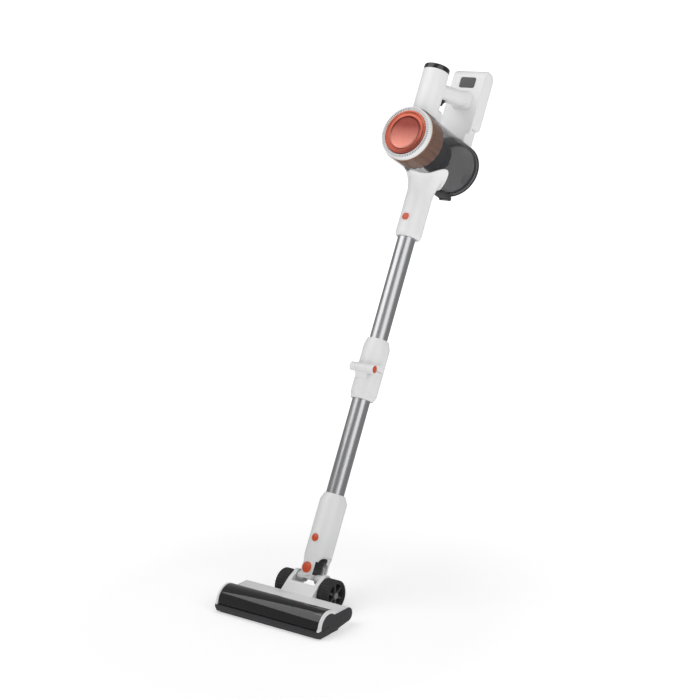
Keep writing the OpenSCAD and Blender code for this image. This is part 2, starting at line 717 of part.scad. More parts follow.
module upper_neck() color(white) difference() {
    wand_frame() union() {
        oval(neck_r, neck_off, neck_rear_off, neck2_bottom + 8, cup_s - cup_r - 33);
        mirror([0, 0, 1]) translate([0, 0, -2 * neck2_bottom - 8])
            neck_mouth(neck2_bottom, neck2_bottom + 8, tube_r + 5.5);
        button_collar(wand_button_s);
        hull() {
            oval(neck_r, neck_off, neck_rear_off, cup_s - cup_r - 33, cup_s - cup_r - 32.9, $fn = 48);
            slab(-24, 24, -46, 44, cup_s - cup_r - 1, cup_s - cup_r + 5);
        }
        intersection() {
            across(-cup_r, cup_r) wing_outline();
            translate([0, -60, cup_s]) rotate([-90, 0, 0]) cylinder(r = cup_r + 2.8, h = 120);
        }
    }
    cup_frame() translate([0, 0, -200]) cylinder(r = cup_r + fit, h = 400);
    wand_frame() cylinder(r = tube_r + fit, h = neck2_bottom + tube_in_neck2 + 0.5);
    wand_frame() cylinder(r = tube_r - 2.5, h = cup_s);
    wand_frame() button_hole(wand_button_s);
    // pocket behind the saddle for the lid hinge
    wand_frame() slab(-13, 13, slab_h - 1, 200, 0, cup_s);
}

module dust_cup() color(smoke) cup_frame() difference() {
    translate([0, 0, -cup_front]) pipe(cup_r, cup_t, cup_front + cup_rear);
    // dirty air in from below, clean air out to the motor
    rotate([-90, 0, 0]) cylinder(r = tube_r - 2.5, h = cup_r + 1);
    translate([0, 0, -motor_h]) rotate([90, 0, 0]) cylinder(r = 14, h = cup_r + 1);
}

cyclone_r = cup_r - cup_t - 4.5;
cyclone_in = cyclone_r - 8;

module cyclone_body() color(copper) cup_frame() difference() {
    union() {
        translate([0, 0, -cup_front + 0.4]) cylinder(r = cup_r - cup_t - 0.1, h = 3);
        translate([0, 0, -cup_front + 0.4]) cylinder(r = cyclone_r, h = cup_front - 40);
    }
    translate([0, 0, -cup_front]) cylinder(r = cyclone_in, h = cup_front - 44);
    translate([0, 0, -cup_front]) cylinder(r = 12, h = cup_front);
    translate([0, 0, -motor_h]) rotate([90, 0, 0]) cylinder(r = 12, h = cup_r);
}

module cyclone_shroud() color(dark) cup_frame() translate([0, 0, -39.4]) difference() {
    union() {
        cylinder(r1 = 31, r2 = 27, h = 64);
        translate([0, 0, 60]) cylinder(r = 33, h = 3);
        translate([0, 0, 64]) cylinder(r1 = 16, r2 = 9, h = 34);
    }
    translate([0, 0, -1]) cylinder(r = 24, h = 60);
    translate([0, 0, -1]) cylinder(r = 6.5, h = 120);
}

module lid_hinge() color(dark) wand_frame() {
    difference() {
        union() {
            slab(-12, 12, slab_h + 1, hinge_h - 6, hinge_s - 2, cup_s - cup_r + 5);
            for (side = [-1, 1]) translate([0, hinge_h, hinge_s]) {
                x0 = side > 0 ? lid_knuckle_half + gap : -12;
                x_rod(4.5, x0, x0 + 12 - lid_knuckle_half - gap);
                slab(x0, x0 + 12 - lid_knuckle_half - gap, -8, 0, -2, 4.4);
            }
        }
        translate([0, 0, cup_s]) rotate([-90, 0, 0]) cylinder(r = cup_r, h = 200);
    }
    translate([0, hinge_h, hinge_s]) x_rod(lid_pin_r, -12.4, 12.4);
}

module cup_lid() color(smoke) difference() {
    union() {
        cup_frame() translate([0, 0, cup_rear + 0.3]) {
            cylinder(r = cup_r - 0.5, h = lid_t - 1.4);
            translate([0, 0, lid_t - 1.4]) cylinder(r1 = cup_r - 0.5, r2 = cup_r - 3, h = 1.4);
        }
        wand_frame() {
            translate([0, hinge_h, hinge_s]) x_rod(4.5, -lid_knuckle_half, lid_knuckle_half);
            slab(-lid_knuckle_half, lid_knuckle_half, cup_rear + 0.3, hinge_h + 3,
                 hinge_s, cup_s - cup_r + 4);
        }
    }
    cup_frame() translate([0, 0, cup_rear]) cylinder(r = cup_r - 8, h = lid_t - 1.6);
    wand_frame() translate([0, hinge_h, hinge_s]) x_rod(lid_pin_r + fit, -20, 20);
}

module lid_seal() color(black) cup_frame() translate([0, 0, cup_rear - 2.4])
    pipe(cup_r - cup_t - 0.4, 3.6, 2.7);

module lid_latch() color([0.75, 0.75, 0.76]) wand_frame()
    translate([0, slab_rear, cup_s + cup_r]) union() {
        slab(-9, 9, gap, 4, 1.5, 19);
        slab(-9, 9, 4, 6, 9, 13);
    }

module cover_ring() color(white) cup_frame() translate([0, 0, -cup_front - ring_depth]) difference() {
    union() {
        cylinder(r1 = cup_r - 2.5, r2 = cup_r, h = 2.5);
        translate([0, 0, 2.5]) cylinder(r = cup_r, h = ring_depth - 2.8);
    }
    translate([0, 0, -1]) cylinder(r = disc_r + fit, h = 6);
    translate([0, 0, 4]) cylinder(r = cup_r - 4, h = ring_depth);
}

module cover_disc() color(coral) cup_frame() translate([0, 0, -cup_front - ring_depth - 1]) difference() {
    union() {
        cylinder(r1 = disc_r - 3, r2 = disc_r, h = 3);
        translate([0, 0, 3]) cylinder(r = disc_r, h = 2);
        translate([0, 0, 5]) cylinder(r = disc_r + 2, h = 1.5);
    }
    translate([0, 0, -1]) cylinder(r1 = disc_r - 11, r2 = disc_r - 12.5, h = 2.6);
}

module hepa_filter() color([0.92, 0.92, 0.90]) cup_frame()
    translate([0, 0, -cup_front - ring_depth + 5.6]) pipe(cyclone_in - 1.5, 17, 38);

// ---- handheld: motor, grip and battery ----

module motor_axis() wand_frame() translate([0, -motor_h, 0]) children();

module motor_housing() color(white) difference() {
    union() {
        motor_axis() translate([0, 0, cup_s + 20]) cylinder(r = motor_r, h = motor_top - 20);
        // fairing below the trigger
        wand_frame() translate([0, -motor_h + motor_r - 4, cup_s + cup_r + 15])
            y_rod(11, 0, 23);
        wand_frame() slab(-11, 11, -motor_h, -motor_h + motor_r + 19, cup_s + 46, cup_s + cup_r + 15);
    }
    cup_frame() translate([0, 0, -200]) cylinder(r = cup_r + fit, h = 400);
    motor_axis() translate([0, 0, cup_s + cup_r + 6]) cylinder(r = motor_r - 2.6, h = motor_top);
    motor_axis() translate([0, 0, cup_s]) cylinder(r = 12, h = 100);
}

module motor_stator() color(steel) motor_axis() translate([0, 0, cup_s + cup_r + 9]) difference() {
    cylinder(r = motor_r - 2.6, h = 46);
    translate([0, 0, 4]) cylinder(r = 12, h = 38);
    translate([0, 0, -1]) cylinder(r = 3 + fit, h = 60);
}

module impeller() color(metal) motor_axis() translate([0, 0, cup_s + cup_r + 9]) {
    translate([0, 0, 4.6]) cylinder(r = 11.5, h = 36.8);
    translate([0, 0, -3]) cylinder(r = 3, h = 66);
    translate([0, 0, 50]) cylinder(r1 = motor_r - 5, r2 = 8, h = 11);
}

module top_cap() color(black) motor_axis() translate([0, 0, motor_end]) {
    translate([0, 0, -4]) cylinder(r = motor_r - 2.6 - fit, h = 4);
    cylinder(r = motor_r, h = top_cap_t - 1.5);
    translate([0, 0, top_cap_t - 1.5]) cylinder(r1 = motor_r, r2 = motor_r - 1.5, h = 1.5);
}

// Y runs along the grip toward the battery, Z across it
module grip_frame() translate([0, slab_h, grip_mid]) rotate([grip_tilt, 0, 0]) children();

module grip_section(inset) rounded(2 * (grip_half - inset), grip_tall - 2 * inset, 12 - inset);

module hand_grip() color(white) wand_frame() difference() {
    union() {
        grip_frame() backwards(-slab_h - motor_h, 6) grip_section(0);
        hull() {
            grip_frame() backwards(-14, -13.9) grip_section(0);
            backwards(slab_h - gap / 2 - 0.1, slab_h - gap / 2) translate([0, grip_mid])
                rounded(2 * grip_half + 12, grip_tall + 10, 12);
        }
    }
    translate([0, -motor_h, 0]) cylinder(r = motor_r + fit, h = 2000);
    slab(-60, 60, slab_h - gap / 2, slab_h + 60, 0, 2000);
    grip_frame() backwards(trigger_y + 2, 20) grip_section(3);
    // slot for the trigger
    grip_frame() slab(-trigger_half - gap, trigger_half + gap, trigger_y - 4, trigger_y + trigger_len + 3,
                      -grip_tall, -grip_tall / 2 + 6);
}

trigger_z = -grip_tall / 2 + 3.4;        // top of the trigger
trigger_y = (-motor_h + motor_r + 2 - slab_h + trigger_z * sin(grip_tilt)) / cos(grip_tilt);
trigger_len = 20;

module trigger() color(black) wand_frame() grip_frame() translate([0, trigger_y, trigger_z])
    across(-trigger_half, trigger_half) difference() {
        polygon([
            [0, 0], [0, -14], [4, -16.5], [9, -15.5], [13, -10], [trigger_len, -6.5], [trigger_len, 0],
        ]);
        translate([18, -15]) circle(6.5);
    }

module trigger_spring() color(steel) wand_frame() grip_frame()
    translate([0, trigger_y + 10, trigger_z]) for (i = [0:3])
        translate([0, 0, 0.5 + i * 0.95]) rotate_extrude() translate([3.4, 0]) circle(0.45, $fn = 16);

module control_board() color([0.10, 0.32, 0.18]) wand_frame() grip_frame()
    slab(-10, 10, -56, -10, -0.8, 0.8);

// Side outline of bay and pack together, in Y-Z of the wand frame
module slab_outline() {
    translate([slab_h, cup_s + 40]) square([slab_t, slab_top - 40 - slab_round]);
    translate([slab_h + slab_round, slab_end - slab_round]) circle(slab_round);
}

module slab_front(w, s0, s1, r) translate([0, (s0 + s1) / 2]) rounded(w, s1 - s0, r);

module rail(extra) for (side = [-1, 1]) translate([side * 24, 0, 0]) {
    slab(-3 - extra, 3 + extra, pack_h - gap - 1, pack_h + 1.4 + extra,
         pack_bottom + 6 - 40 * (extra > 0 ? 1 : 0), slab_end - 30);
}

module battery_bay() color(white) wand_frame() difference() {
    union() {
        intersection() {
            across(-slab_half, slab_half) slab_outline();
            backwards(slab_h, slab_h + bay_t)
                slab_front(2 * slab_half, cup_s + cup_r + 11, slab_end, 7);
        }
        slab(-foot_half, foot_half, slab_h, slab_rear, cup_s + 40, pack_bottom - gap);
        rail(0);
    }
    translate([0, 0, cup_s]) rotate([-90, 0, 0]) cylinder(r = cup_r + fit, h = 200);
    backwards(0, 200) translate([0, window_s]) rounded(2 * window_half + 0.6, window_tall + 0.6, 4.3);
}

module battery_case() color(white) wand_frame() difference() {
    intersection() {
        across(-slab_half, slab_half) slab_outline();
        backwards(pack_h, slab_rear) slab_front(2 * slab_half, pack_bottom, slab_end, 7);
    }
    // room for the cells
    slab(-slab_half + 3, slab_half - 3, pack_h + 2.2, pack_h + 4.4 + 2 * cell_r,
         pack_bottom + 2.5, pack_bottom + 2.5 + 6 * cell_pitch);
    rail(0.4);
    translate([0, 0, pack_bottom + 20]) y_rod(socket_r + 1.75, pack_h + 3 + 2 * cell_r, 200);
}

module battery_cells() color([0.20, 0.45, 0.60]) wand_frame() for (i = [0:5])
    translate([0, pack_h + 2.4 + cell_r, pack_bottom + 3 + cell_r + i * cell_pitch])
        x_rod(cell_r, -cell_len / 2, cell_len / 2);

module charge_socket() color(black) wand_frame() translate([0, 0, pack_bottom + 20]) difference() {
    y_rod(socket_r + 1.75, slab_rear - socket_len - 0.8, slab_rear);
    y_rod(socket_r, slab_rear - socket_len, slab_rear + 1);
}

module battery_button() color(black) wand_frame()
    backwards(slab_h - 0.8, slab_h + bay_t - 2.2) translate([0, window_s])
        rounded(2 * window_half, window_tall, 4);

module wand_button() color(orange) round_button(wand_button_s);

head_housing();
sole_plate();
brush_window();
front_bumper();
left_side_cap();
right_side_cap();
side_panels();
brush_bearings();
brush_motor();
drive_belt();
suction_duct();
wheel_axles();
tilt_pins();
head_screws();
brush_core();
brush_bristles();
brush_pulley();
motor_pulley();
left_wheel_hub();
left_wheel_tyre();
right_wheel_hub();
right_wheel_tyre();
tilt_knuckle();
swivel_pins();
lower_neck();
swivel_cap();
neck_hose();
head_button();
lower_tube();
lower_hinge_housing();
fold_pin();
fold_seal();
upper_hinge_housing();
upper_tube();
fold_button();
upper_neck();
dust_cup();
cyclone_body();
cyclone_shroud();
motor_housing();
motor_stator();
top_cap();
hand_grip();
battery_bay();
control_board();
lid_hinge();
wand_button();
trigger();
trigger_spring();
impeller();
cup_lid();
lid_seal();
lid_latch();
cover_ring();
cover_disc();
hepa_filter();
battery_case();
battery_cells();
charge_socket();
battery_button();
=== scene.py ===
import json
import math
import bmesh
import bpy
from mathutils import Matrix, Vector


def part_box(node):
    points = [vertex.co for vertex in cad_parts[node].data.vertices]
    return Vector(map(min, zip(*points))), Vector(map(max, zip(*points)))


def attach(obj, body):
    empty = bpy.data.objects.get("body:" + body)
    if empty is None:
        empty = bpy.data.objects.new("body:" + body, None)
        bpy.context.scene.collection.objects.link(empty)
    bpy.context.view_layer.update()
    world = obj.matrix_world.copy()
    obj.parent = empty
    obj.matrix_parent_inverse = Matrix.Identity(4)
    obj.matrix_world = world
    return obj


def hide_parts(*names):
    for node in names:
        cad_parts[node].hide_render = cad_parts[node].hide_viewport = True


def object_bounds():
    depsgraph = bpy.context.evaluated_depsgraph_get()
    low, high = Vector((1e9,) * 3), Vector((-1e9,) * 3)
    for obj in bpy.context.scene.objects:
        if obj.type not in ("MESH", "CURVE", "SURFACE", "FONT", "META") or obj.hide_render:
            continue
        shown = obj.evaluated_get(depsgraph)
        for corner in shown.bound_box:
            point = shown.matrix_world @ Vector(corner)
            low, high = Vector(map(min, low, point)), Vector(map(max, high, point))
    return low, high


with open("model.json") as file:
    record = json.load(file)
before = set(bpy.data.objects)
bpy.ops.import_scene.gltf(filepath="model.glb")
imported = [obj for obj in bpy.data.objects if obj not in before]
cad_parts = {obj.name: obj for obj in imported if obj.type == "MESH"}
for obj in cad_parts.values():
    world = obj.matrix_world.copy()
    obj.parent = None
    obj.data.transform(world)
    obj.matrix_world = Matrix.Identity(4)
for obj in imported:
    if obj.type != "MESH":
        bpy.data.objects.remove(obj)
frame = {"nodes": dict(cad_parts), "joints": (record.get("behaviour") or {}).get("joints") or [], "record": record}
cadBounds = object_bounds()
mm = 0.001
nodeOf = frame["nodes"]
jointOf = {joint["name"]: joint for joint in frame["joints"]}
print("frame loaded:", len(nodeOf), "nodes")

# the wand's own frame: x across, h back and down over the tube, s along the tube
wandUp = Vector(jointOf["wand_pull"]["axis"]).normalized()
tiltPoint = Vector(jointOf["neck_tilt"]["pos_m"])
across = Vector((1, 0, 0))
backDown = across.cross(wandUp) * -1
wandTurn = Matrix((across, backDown, wandUp)).transposed()
wandPlace = Matrix.Translation(tiltPoint) @ wandTurn.to_4x4()


def wandLocal(point):
    return wandPlace.inverted() @ Vector(point)


def middleOf(node):
    low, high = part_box(node)
    return (low + high) / 2


cupMid = wandLocal(middleOf("dust_cup"))
cupS = cupMid.z
cupPlace = wandPlace @ Matrix.Translation((0, 0, cupS)) @ Matrix.Rotation(math.radians(-90), 4, "X")

# camera, floor and light
cameraSet = {
    "place": (1.8410, -2.3458, 1.1926),
    "heading": 35.82,
    "down": 13.0,
    "lens": 88.35,
    "sensor": 36.0,
}


def makeCamera(values):
    data = bpy.data.cameras.new("camera")
    data.lens = values["lens"]
    data.sensor_width = values["sensor"]
    camera = bpy.data.objects.new("camera", data)
    camera.location = values["place"]
    camera.rotation_euler = (math.radians(90 - values["down"]), 0, math.radians(values["heading"]))
    bpy.context.scene.collection.objects.link(camera)
    bpy.context.scene.camera = camera
    return camera


def addSoftLight(name, place, aim, size, power, tint=(1, 1, 1)):
    data = bpy.data.lights.new(name, "AREA")
    data.shape = "RECTANGLE"
    data.size, data.size_y = size
    data.energy = power
    data.color = tint
    light = bpy.data.objects.new(name, data)
    light.location = place
    light.rotation_euler = (Vector(aim) - Vector(place)).to_track_quat("-Z", "Y").to_euler()
    bpy.context.scene.collection.objects.link(light)
    return light


# material helpers
def startMaterial(name):
    material = bpy.data.materials.new(name)
    material.use_nodes = True
    tree = material.node_tree
    tree.nodes.clear()
    output = tree.nodes.new("ShaderNodeOutputMaterial")
    shader = tree.nodes.new("ShaderNodeBsdfPrincipled")
    tree.links.new(shader.outputs["BSDF"], output.inputs["Surface"])
    return material, tree, shader


def placeOn(tree, scale=(1, 1, 1), alongWand=False):
    coords = tree.nodes.new("ShaderNodeTexCoord")
    mapping = tree.nodes.new("ShaderNodeMapping")
    mapping.vector_type = "TEXTURE" if alongWand else "POINT"
    if alongWand:
        mapping.inputs["Rotation"].default_value = wandTurn.to_euler()
        mapping.inputs["Scale"].default_value = tuple(1 / max(v, 1e-6) for v in scale)
    else:
        mapping.inputs["Scale"].default_value = scale
    tree.links.new(coords.outputs["Object"], mapping.inputs["Vector"])
    return mapping.outputs["Vector"]


def addNoise(tree, vector, scale, detail=3.0, roughness=0.5):
    noise = tree.nodes.new("ShaderNodeTexNoise")
    noise.inputs["Scale"].default_value = scale
    noise.inputs["Detail"].default_value = detail
    noise.inputs["Roughness"].default_value = roughness
    tree.links.new(vector, noise.inputs["Vector"])
    return noise.outputs["Fac"]


def spread(tree, value, low, high, fromLow=0.3, fromHigh=0.7):
    ramp = tree.nodes.new("ShaderNodeMapRange")
    ramp.inputs["From Min"].default_value = fromLow
    ramp.inputs["From Max"].default_value = fromHigh
    ramp.inputs["To Min"].default_value = low
    ramp.inputs["To Max"].default_value = high
    tree.links.new(value, ramp.inputs["Value"])
    return ramp.outputs["Result"]


def mixColour(tree, value, first, second):
    mix = tree.nodes.new("ShaderNodeMix")
    mix.data_type = "RGBA"
    mix.inputs["A"].default_value = (*first, 1)
    mix.inputs["B"].default_value = (*second, 1)
    tree.links.new(value, mix.inputs["Factor"])
    return mix.outputs["Result"]


def addBump(tree, shader, height, strength, distance):
    bump = tree.nodes.new("ShaderNodeBump")
    bump.inputs["Strength"].default_value = strength
    bump.inputs["Distance"].default_value = distance
    tree.links.new(height, bump.inputs["Height"])
    tree.links.new(bump.outputs["Normal"], shader.inputs["Normal"])
    return bump


def mouldedPlastic(name, colour, shade, rough=0.3, grain=1800, grainDepth=0.00002, coat=0.0, metal=0.0):
    material, tree, shader = startMaterial(name)
    here = placeOn(tree)
    cloud = addNoise(tree, here, 14, 4)
    tree.links.new(mixColour(tree, cloud, colour, shade), shader.inputs["Base Color"])
    fine = addNoise(tree, here, grain, 2)
    sheen = spread(tree, addNoise(tree, here, 90, 5), rough * 0.85, rough * 1.2)
    tree.links.new(sheen, shader.inputs["Roughness"])
    shader.inputs["Metallic"].default_value = metal
    shader.inputs["Coat Weight"].default_value = coat
    shader.inputs["Coat Roughness"].default_value = 0.08
    addBump(tree, shader, fine, 0.25, grainDepth)
    return material


finish = {
    "white_plastic": mouldedPlastic("white gloss shell", (0.80, 0.80, 0.805), (0.78, 0.78, 0.785), 0.34,
                                    coat=0.15),
    "orange_plastic": mouldedPlastic("orange button gloss", (0.62, 0.075, 0.015), (0.56, 0.06, 0.012), 0.3,
                                     coat=0.3),
    "coral_metal": mouldedPlastic("coral lacquer", (0.46, 0.085, 0.05), (0.40, 0.065, 0.038), 0.26, 900,
                                  0.00001, 0.3, 0.9),
    "dark_plastic": mouldedPlastic("charcoal grained", (0.045, 0.045, 0.048), (0.035, 0.035, 0.038), 0.42,
                                   1400, 0.00006),
    "black_gloss": mouldedPlastic("piano black", (0.006, 0.006, 0.007), (0.01, 0.01, 0.011), 0.14, coat=0.5),
    "copper_plastic": mouldedPlastic("copper paint", (0.78, 0.42, 0.26), (0.62, 0.31, 0.18), 0.34, 700,
                                     0.00003, 0.1, 0.45),
    "light_grey": mouldedPlastic("satin grey", (0.55, 0.55, 0.56), (0.5, 0.5, 0.51), 0.35),
    "steel": mouldedPlastic("ground steel", (0.55, 0.55, 0.56), (0.45, 0.45, 0.46), 0.3, 2200, 0.00003, 0,
                            1.0),
    "black_rubber": mouldedPlastic("tyre rubber", (0.018, 0.018, 0.018), (0.028, 0.028, 0.028), 0.62, 900,
                                   0.0001),
    "hose_rubber": mouldedPlastic("hose rubber", (0.03, 0.03, 0.032), (0.045, 0.045, 0.047), 0.5, 700,
                                  0.0001),
    "bristle_fibre": mouldedPlastic("nylon nap", (0.03, 0.03, 0.032), (0.05, 0.05, 0.052), 0.8, 1600, 0.0004),
    "filter_paper": mouldedPlastic("filter paper", (0.8, 0.79, 0.74), (0.7, 0.69, 0.64), 0.9, 600, 0.0002),
    "board_green": mouldedPlastic("board green", (0.02, 0.12, 0.05), (0.015, 0.09, 0.04), 0.35),
    "cell_wrap": mouldedPlastic("cell wrap blue", (0.03, 0.14, 0.26), (0.025, 0.12, 0.23), 0.25),
}


def brushedTube(name):
    material, tree, shader = startMaterial(name)
    along = placeOn(tree, (2600, 2600, 9), alongWand=True)
    streak = addNoise(tree, along, 1.0, 3, 0.6)
    tree.links.new(mixColour(tree, streak, (0.50, 0.50, 0.515), (0.62, 0.62, 0.635)),
                   shader.inputs["Base Color"])
    tree.links.new(spread(tree, streak, 0.22, 0.34), shader.inputs["Roughness"])
    shader.inputs["Metallic"].default_value = 1.0
    shader.inputs["Anisotropic"].default_value = 0.5
    addBump(tree, shader, streak, 0.3, 0.00002)
    return material


def smokedClear(name, colour, rough, alpha):
    material, tree, shader = startMaterial(name)
    here = placeOn(tree)
    cloud = addNoise(tree, here, 30, 4)
    tree.links.new(mixColour(tree, cloud, colour, tuple(v * 0.9 for v in colour)),
                   shader.inputs["Base Color"])
    tree.links.new(spread(tree, cloud, rough * 0.7, rough * 1.3), shader.inputs["Roughness"])
    shader.inputs["Alpha"].default_value = alpha
    shader.inputs["Coat Weight"].default_value = 0.6
    shader.inputs["Coat Roughness"].default_value = 0.03
    return material


finish["tube_aluminium"] = brushedTube("brushed tube")
finish["smoke_clear"] = smokedClear("smoked cup", (0.05, 0.05, 0.055), 0.07, 0.3)
windowClear = smokedClear("brush window", (0.008, 0.008, 0.009), 0.08, 0.9)
lidClear = smokedClear("smoked lid", (0.05, 0.05, 0.055), 0.07, 0.7)
# painted shade: a near-black colour laid on the recessed slot faces of the cover ring, in place of the shade
# inside its perforations
finish["slot_dark"] = mouldedPlastic("slot painted shade", (0.06, 0.055, 0.055), (0.04, 0.038, 0.038), 0.6)
finish["pale_ring"] = mouldedPlastic("pale ring", (0.80, 0.70, 0.67), (0.76, 0.66, 0.63), 0.3, coat=0.2)
slotOf = {part["node"]: part["material_slot"] for part in frame["record"]["subparts"]}

for nodeName, node in nodeOf.items():
    node.data.materials.clear()
    node.data.materials.append(finish[slotOf[nodeName]])
nodeOf["brush_window"].data.materials[0] = windowClear
print("finishes made:", len(finish))


# mesh helpers
def addMesh(name, points, faces, material, smooth=True):
    mesh = bpy.data.meshes.new(name)
    mesh.from_pydata([tuple(p) for p in points], [], faces)
    mesh.validate()
    mesh.materials.append(material)
    piece = bpy.data.objects.new(name, mesh)
    bpy.context.scene.collection.objects.link(piece)
    if smooth:
        mesh.shade_smooth()
    return piece


def applyModifiers(piece):
    graph = bpy.context.evaluated_depsgraph_get()
    done = bpy.data.meshes.new_from_object(piece.evaluated_get(graph))
    piece.modifiers.clear()
    piece.data = done
    return piece


def softenedCopy(node, body, width=0.8, segments=3, limit=28, name=None):
    # a copy of the CAD solid with its hard edges rounded
    source = nodeOf[node]
    piece = bpy.data.objects.new(name or node + "Shell", source.data.copy())
    bpy.context.scene.collection.objects.link(piece)
    work = bmesh.new()
    work.from_mesh(piece.data)
    bmesh.ops.remove_doubles(work, verts=work.verts, dist=1e-6)
    bmesh.ops.dissolve_limit(work, angle_limit=math.radians(0.5), verts=work.verts, edges=work.edges)
    work.to_mesh(piece.data)
    work.free()
    bevel = piece.modifiers.new("round", "BEVEL")
    bevel.width = width * mm
    bevel.segments = segments
    bevel.limit_method = "ANGLE"
    bevel.angle_limit = math.radians(limit)
    bevel.use_clamp_overlap = True
    bevel.harden_normals = False
    piece.data.shade_smooth()
    applyModifiers(piece)
    piece.data.shade_smooth()
    piece.data.set_sharp_from_angle(angle=math.radians(35))
    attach(piece, body)
    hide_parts(node)
    return piece


bodyOf = {}
for bodyName, members in frame["record"]["behaviour"]["bodies"].items():
    for member in members:
        bodyOf[member] = bodyName

def skin(name, rings, material, closeEnds=True):
    # joins rings of equal point counts into one closed surface
    count = len(rings[0])
    points = [point for ring in rings for point in ring]
    faces = []
    for row in range(len(rings) - 1):
        for i in range(count):
            j = (i + 1) % count
            faces.append((row * count + i, row * count + j, (row + 1) * count + j, (row + 1) * count + i))
    if closeEnds:
        faces.append(list(range(count))[::-1])
        faces.append([(len(rings) - 1) * count + i for i in range(count)])
    piece = addMesh(name, points, faces, material)
    work = bmesh.new()
    work.from_mesh(piece.data)
    bmesh.ops.recalc_face_normals(work, faces=work.faces)
    work.to_mesh(piece.data)
    work.free()
    piece.data.shade_smooth()
    piece.data.set_sharp_from_angle(angle=math.radians(40))
    return piece


def alongCurve(table, t):
    # smooth value between (place, value...) rows, by Catmull-Rom
    rows = [table[0]] + list(table) + [table[-1]]
    for i in range(1, len(rows) - 2):
        if t <= rows[i + 1][0] or i == len(rows) - 3:
            a, b = rows[i], rows[i + 1]
            before, after = rows[i - 1], rows[i + 2]
            u = (t - a[0]) / (b[0] - a[0])
            result = []
            for k in range(1, len(a)):
                slopeA = (b[k] - before[k]) / max(1e-6, b[0] - before[0]) * (b[0] - a[0])
                slopeB = (after[k] - a[k]) / max(1e-6, after[0] - a[0]) * (b[0] - a[0])
                result.append((2 * u ** 3 - 3 * u ** 2 + 1) * a[k] + (u ** 3 - 2 * u ** 2 + u) * slopeA
                              + (-2 * u ** 3 + 3 * u ** 2) * b[k] + (u ** 3 - u ** 2) * slopeB)
            return result
    return table[-1][1:]


def rideAs(piece, node, extraNodes=()):
    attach(piece, bodyOf[node])
    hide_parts(node, *extraNodes)
    return piece


def rideOn(piece, body):
    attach(piece, body)
    return piece


def wandBox(node):
    places = [wandLocal(v.co) for v in nodeOf[node].data.vertices]
    return (Vector([min(p[i] for p in places) for i in range(3)]) / mm,
            Vector([max(p[i] for p in places) for i in range(3)]) / mm)


def wand(x, h, s):
    return wandPlace @ Vector((x * mm, h * mm, s * mm))


def wandAt(s, h=0.0, x=0.0):
    # a place whose Z runs along the tube
    return wandPlace @ Matrix.Translation((x * mm, h * mm, s * mm))


def frontAt(s, h=0.0, x=0.0):
    # a place whose Z points to the front of the wand
    return wandAt(s, h, x) @ Matrix.Rotation(math.radians(90), 4, "X")


# upper neck: oval column that spreads into a saddle under the cup
upperNeckSet = {
    "mouthRadius": 23.2, "mouthDepth": 8.0, "frontOff": 1.0, "rearOff": 4.0, "radius": 25.5,
    "flareStart": 42.0, "pullUp": 0.95, "pullOut": 0.85, "edge": 1.7, "cupRadius": 56.15,
    # angle round the neck, distance behind the wand axis, angle round the cup
    "edgeLine": [(0, -50, 0), (22, -46, 7), (42, -35, 14), (60, -25, 26), (75, -18, 41), (88, -9, 51),
                 (98, 2, 55), (112, 13, 50.5), (130, 27, 36), (150, 43, 19), (168, 55, 7), (180, 58.5, 0)],
}


def neckOval(turn, s, radius, values):
    rear = (1 - math.cos(turn)) / 2
    off = values["frontOff"] + (values["rearOff"] - values["frontOff"]) * rear
    return Vector((radius * math.sin(turn), off - radius * math.cos(turn), s))


